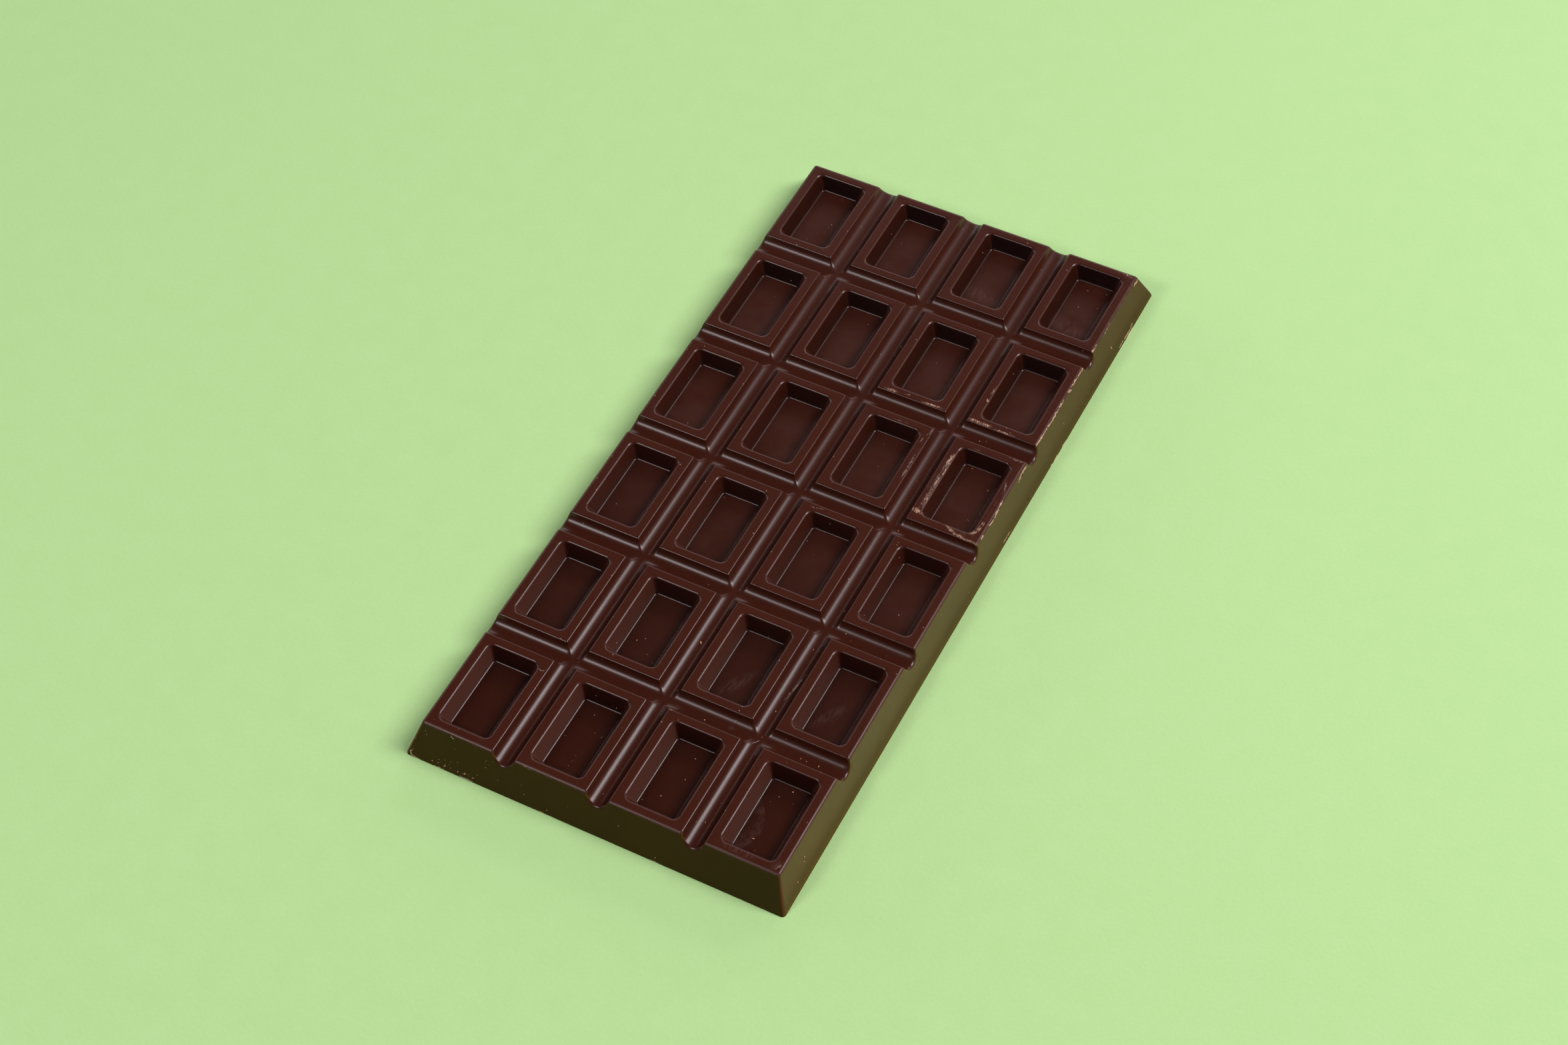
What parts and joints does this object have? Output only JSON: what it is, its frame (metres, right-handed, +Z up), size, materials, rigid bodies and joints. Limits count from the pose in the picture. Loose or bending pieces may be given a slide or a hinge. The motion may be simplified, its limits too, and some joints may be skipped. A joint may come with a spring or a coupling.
{
  "type": "chocolate bar",
  "caption": "Dark chocolate tablet: a flat block with sloping sides, moulded into recessed rectangular pieces parted by round-bottomed channels.",
  "frame": {"origin": "centre of the flat base, on the surface the bar lies on", "axes": "+Z up out of the moulded face, +Y along the bar's length, +X across its width"},
  "size_m": [0.079, 0.166, 0.0076],
  "materials": {
    "dark_chocolate": "tempered dark chocolate, satin, with a faint bloom, scuffs and crumbs"
  },
  "bodies": {
    "root": {"chocolate_bar": "dark_chocolate"}
  },
  "joints": []
}
